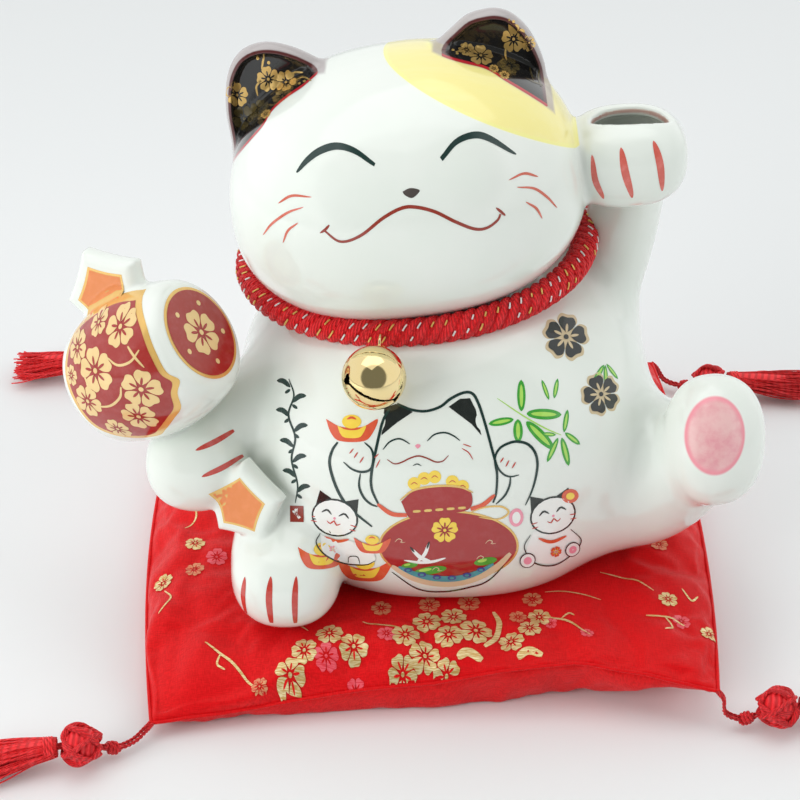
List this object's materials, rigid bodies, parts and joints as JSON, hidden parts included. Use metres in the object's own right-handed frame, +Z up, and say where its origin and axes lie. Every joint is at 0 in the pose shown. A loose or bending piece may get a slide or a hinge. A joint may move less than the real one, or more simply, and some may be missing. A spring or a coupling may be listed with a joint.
{
  "type": "ceramic cat figurine",
  "caption": "Seated beckoning cat of glazed ceramic with one arm raised and a mallet in the other paw, belled collar, on a square brocade cushion with corner tassels.",
  "frame": {"origin": "middle of the cushion's flat underside, on the table", "axes": "+Z up; -Y the way the cat faces; +X to the right as one looks at its face"},
  "size_m": [0.3654, 0.2716, 0.2289],
  "materials": {
    "white_glaze": "glossy",
    "grey_rubber": "matte",
    "red_braid": "matte",
    "red_threads": "silky",
    "red_satin": "satin",
    "wadding": "matte",
    "gilt_brass": "polished",
    "steel": "satin"
  },
  "bodies": {
    "cushion": {"cushion_bottom_panel": "red_satin", "cushion_top_panel": "red_satin", "cushion_filling": "wadding"},
    "cat": {"body": "white_glaze", "head": "white_glaze", "ear_left": "white_glaze", "ear_right": "white_glaze", "raised_arm": "white_glaze", "raised_paw": "white_glaze", "mallet_barrel": "white_glaze", "mallet_knob_top": "white_glaze", "mallet_knob_bottom": "white_glaze", "mallet_arm": "white_glaze", "mallet_paw": "white_glaze", "standing_leg": "white_glaze", "standing_foot": "white_glaze", "stretched_leg": "white_glaze", "stretched_foot": "white_glaze", "tail": "white_glaze", "base_stopper": "grey_rubber", "collar_cord": "red_braid"},
    "ring": {"jump_ring": "gilt_brass"},
    "bell": {"bell_loop": "gilt_brass", "bell_upper_shell": "gilt_brass", "bell_lower_shell": "gilt_brass"},
    "pellet": {"bell_pellet": "steel"},
    "tassel_front_left": {"tassel_cord_front_left": "red_braid", "tassel_keeper_front_left": "red_braid", "tassel_ball_front_left": "red_braid", "tassel_skirt_front_left": "red_threads"},
    "tassel_front_right": {"tassel_cord_front_right": "red_braid", "tassel_keeper_front_right": "red_braid", "tassel_ball_front_right": "red_braid", "tassel_skirt_front_right": "red_threads"},
    "tassel_back_left": {"tassel_cord_back_left": "red_braid", "tassel_keeper_back_left": "red_braid", "tassel_ball_back_left": "red_braid", "tassel_skirt_back_left": "red_threads"},
    "tassel_back_right": {"tassel_cord_back_right": "red_braid", "tassel_keeper_back_right": "red_braid", "tassel_ball_back_right": "red_braid", "tassel_skirt_back_right": "red_threads"}
  },
  "joints": [
    {"name": "cat_lift", "type": "slide", "parent": "cushion", "child": "cat", "axis": [0, 0, 1], "range_m": [0, 0.06]},
    {"name": "ring_sway", "type": "hinge", "parent": "cat", "child": "ring", "pos_m": [-0.01995, -0.05608, 0.13023], "axis": [0.0077, 0.0728, -0.9973], "range_deg": [-12, 12]},
    {"name": "bell_swing", "type": "hinge", "parent": "ring", "child": "bell", "pos_m": [-0.02022, -0.05856, 0.13004], "axis": [-0.9945, 0.1048, 0.0077], "range_deg": [0, 40]},
    {"name": "pellet_rattle", "type": "slide", "parent": "bell", "child": "pellet", "axis": [0, 0, 1], "range_m": [0, 0.014]},
    {"name": "tassel_turn_front_left", "type": "hinge", "parent": "cushion", "child": "tassel_front_left", "pos_m": [-0.103, -0.119, 0.006], "axis": [0, 0, 1], "range_deg": [-20, 20]},
    {"name": "tassel_turn_front_right", "type": "hinge", "parent": "cushion", "child": "tassel_front_right", "pos_m": [0.102, -0.113, 0.016], "axis": [0, 0, 1], "range_deg": [-20, 20]},
    {"name": "tassel_turn_back_left", "type": "hinge", "parent": "cushion", "child": "tassel_back_left", "pos_m": [-0.105, 0.106, 0.01], "axis": [0, 0, 1], "range_deg": [-20, 20]},
    {"name": "tassel_turn_back_right", "type": "hinge", "parent": "cushion", "child": "tassel_back_right", "pos_m": [0.102, 0.105, 0.011], "axis": [0, 0, 1], "range_deg": [-20, 20]}
  ]
}
